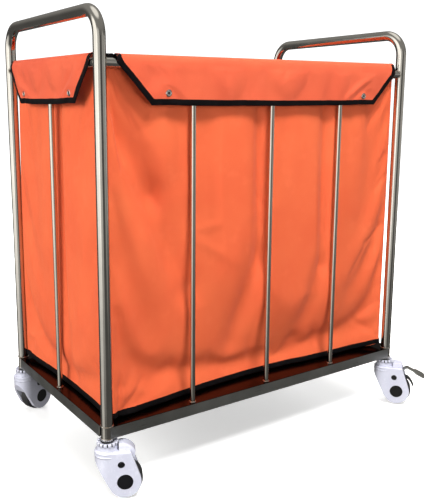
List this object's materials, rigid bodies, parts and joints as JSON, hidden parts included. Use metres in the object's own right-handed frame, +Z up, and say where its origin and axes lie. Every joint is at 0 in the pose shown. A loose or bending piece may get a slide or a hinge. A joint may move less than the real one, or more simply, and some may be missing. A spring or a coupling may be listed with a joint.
{
  "type": "linen trolley",
  "caption": "Stainless tube linen trolley with a hung cloth bag, folded top flaps, push handles and swivel castors.",
  "frame": {"origin": "on the floor, under the middle of the trolley's bounding box with the castors swivelled as stored", "axes": "+X along the long side towards the braked castors, +Y across, +Z up"},
  "size_m": [0.963, 0.6688, 1.0027],
  "materials": {
    "steel_tube": "satin-polished stainless tube",
    "steel_rod": "satin-polished stainless rod",
    "steel_base": "brushed stainless square tube",
    "steel_sheet": "smooth, mirror-like stainless sheet",
    "bag_fabric": "orange coated plain-weave cloth",
    "flap_fabric": "orange coated plain-weave cloth, black bound edge",
    "snap_metal": "nickel-plated press stud",
    "castor_plastic": "glossy white moulded plastic",
    "wheel_plastic": "white moulded plastic",
    "black_plastic": "black moulded plastic",
    "tyre_rubber": "smooth black rubber",
    "castor_steel": "zinc-plated steel",
    "pedal_steel": "brushed pressed steel",
    "shoe_steel": "black coated pressed steel"
  },
  "bodies": {
    "frame": {"left_hoop": "steel_tube", "right_hoop": "steel_tube", "front_top_rail": "steel_tube", "rear_top_rail": "steel_tube", "left_top_rail": "steel_tube", "right_top_rail": "steel_tube", "front_rods": "steel_rod", "rear_rods": "steel_rod", "end_rods": "steel_rod", "base_front_rail": "steel_base", "base_rear_rail": "steel_base", "base_left_rail": "steel_base", "base_right_rail": "steel_base", "floor_sheet": "steel_sheet", "leg_plugs": "black_plastic", "bag_body": "bag_fabric", "flap_snaps": "snap_metal", "flap_front": "flap_fabric", "flap_rear": "flap_fabric", "flap_left": "flap_fabric", "flap_right": "flap_fabric", "castor_fl_stem": "castor_steel", "castor_fr_stem": "castor_steel", "castor_rl_stem": "castor_steel", "castor_rr_stem": "castor_steel"},
    "castor_fl": {"castor_fl_bearing": "castor_steel", "castor_fl_body": "castor_plastic", "castor_fl_hood": "castor_plastic", "castor_fl_axle": "castor_steel", "castor_fl_caps": "black_plastic"},
    "wheel_fl": {"castor_fl_wheel": "wheel_plastic", "castor_fl_tyre": "tyre_rubber"},
    "castor_fr": {"castor_fr_bearing": "castor_steel", "castor_fr_body": "castor_plastic", "castor_fr_hood": "castor_plastic", "castor_fr_axle": "castor_steel", "castor_fr_caps": "black_plastic", "castor_fr_brake_pin": "castor_steel"},
    "wheel_fr": {"castor_fr_wheel": "wheel_plastic", "castor_fr_tyre": "tyre_rubber"},
    "brake_fr": {"castor_fr_pedal": "pedal_steel", "castor_fr_brake_shoe": "shoe_steel"},
    "castor_rl": {"castor_rl_bearing": "castor_steel", "castor_rl_body": "castor_plastic", "castor_rl_hood": "castor_plastic", "castor_rl_axle": "castor_steel", "castor_rl_caps": "black_plastic"},
    "wheel_rl": {"castor_rl_wheel": "wheel_plastic", "castor_rl_tyre": "tyre_rubber"},
    "castor_rr": {"castor_rr_bearing": "castor_steel", "castor_rr_body": "castor_plastic", "castor_rr_hood": "castor_plastic", "castor_rr_axle": "castor_steel", "castor_rr_caps": "black_plastic", "castor_rr_brake_pin": "castor_steel"},
    "wheel_rr": {"castor_rr_wheel": "wheel_plastic", "castor_rr_tyre": "tyre_rubber"},
    "brake_rr": {"castor_rr_pedal": "pedal_steel", "castor_rr_brake_shoe": "shoe_steel"}
  },
  "joints": [
    {"name": "swivel_fl", "type": "hinge", "parent": "frame", "child": "castor_fl", "pos_m": [-0.4545, -0.2425, 0.12], "axis": [0, 0, 1], "continuous": true},
    {"name": "roll_fl", "type": "hinge", "parent": "castor_fl", "child": "wheel_fl", "pos_m": [-0.42304, -0.25784, 0.038], "axis": [0.4384, 0.8988, 0], "continuous": true},
    {"name": "swivel_fr", "type": "hinge", "parent": "frame", "child": "castor_fr", "pos_m": [0.4005, -0.2425, 0.12], "axis": [0, 0, 1], "continuous": true},
    {"name": "roll_fr", "type": "hinge", "parent": "castor_fr", "child": "wheel_fr", "pos_m": [0.423, -0.26931, 0.038], "axis": [0.766, 0.6428, 0], "continuous": true},
    {"name": "brake_fr", "type": "hinge", "parent": "castor_fr", "child": "brake_fr", "pos_m": [0.42621, -0.27314, 0.09], "axis": [0.766, 0.6428, 0], "range_deg": [0, 7]},
    {"name": "swivel_rl", "type": "hinge", "parent": "frame", "child": "castor_rl", "pos_m": [-0.4545, 0.2425, 0.12], "axis": [0, 0, 1], "continuous": true},
    {"name": "roll_rl", "type": "hinge", "parent": "castor_rl", "child": "wheel_rl", "pos_m": [-0.42183, 0.25504, 0.038], "axis": [-0.3584, 0.9336, 0], "continuous": true},
    {"name": "swivel_rr", "type": "hinge", "parent": "frame", "child": "castor_rr", "pos_m": [0.4005, 0.2425, 0.12], "axis": [0, 0, 1], "continuous": true},
    {"name": "roll_rr", "type": "hinge", "parent": "castor_rr", "child": "wheel_rr", "pos_m": [0.423, 0.26931, 0.038], "axis": [-0.766, 0.6428, 0], "continuous": true},
    {"name": "brake_rr", "type": "hinge", "parent": "castor_rr", "child": "brake_rr", "pos_m": [0.42621, 0.27314, 0.09], "axis": [-0.766, 0.6428, 0], "range_deg": [0, 7]}
  ]
}
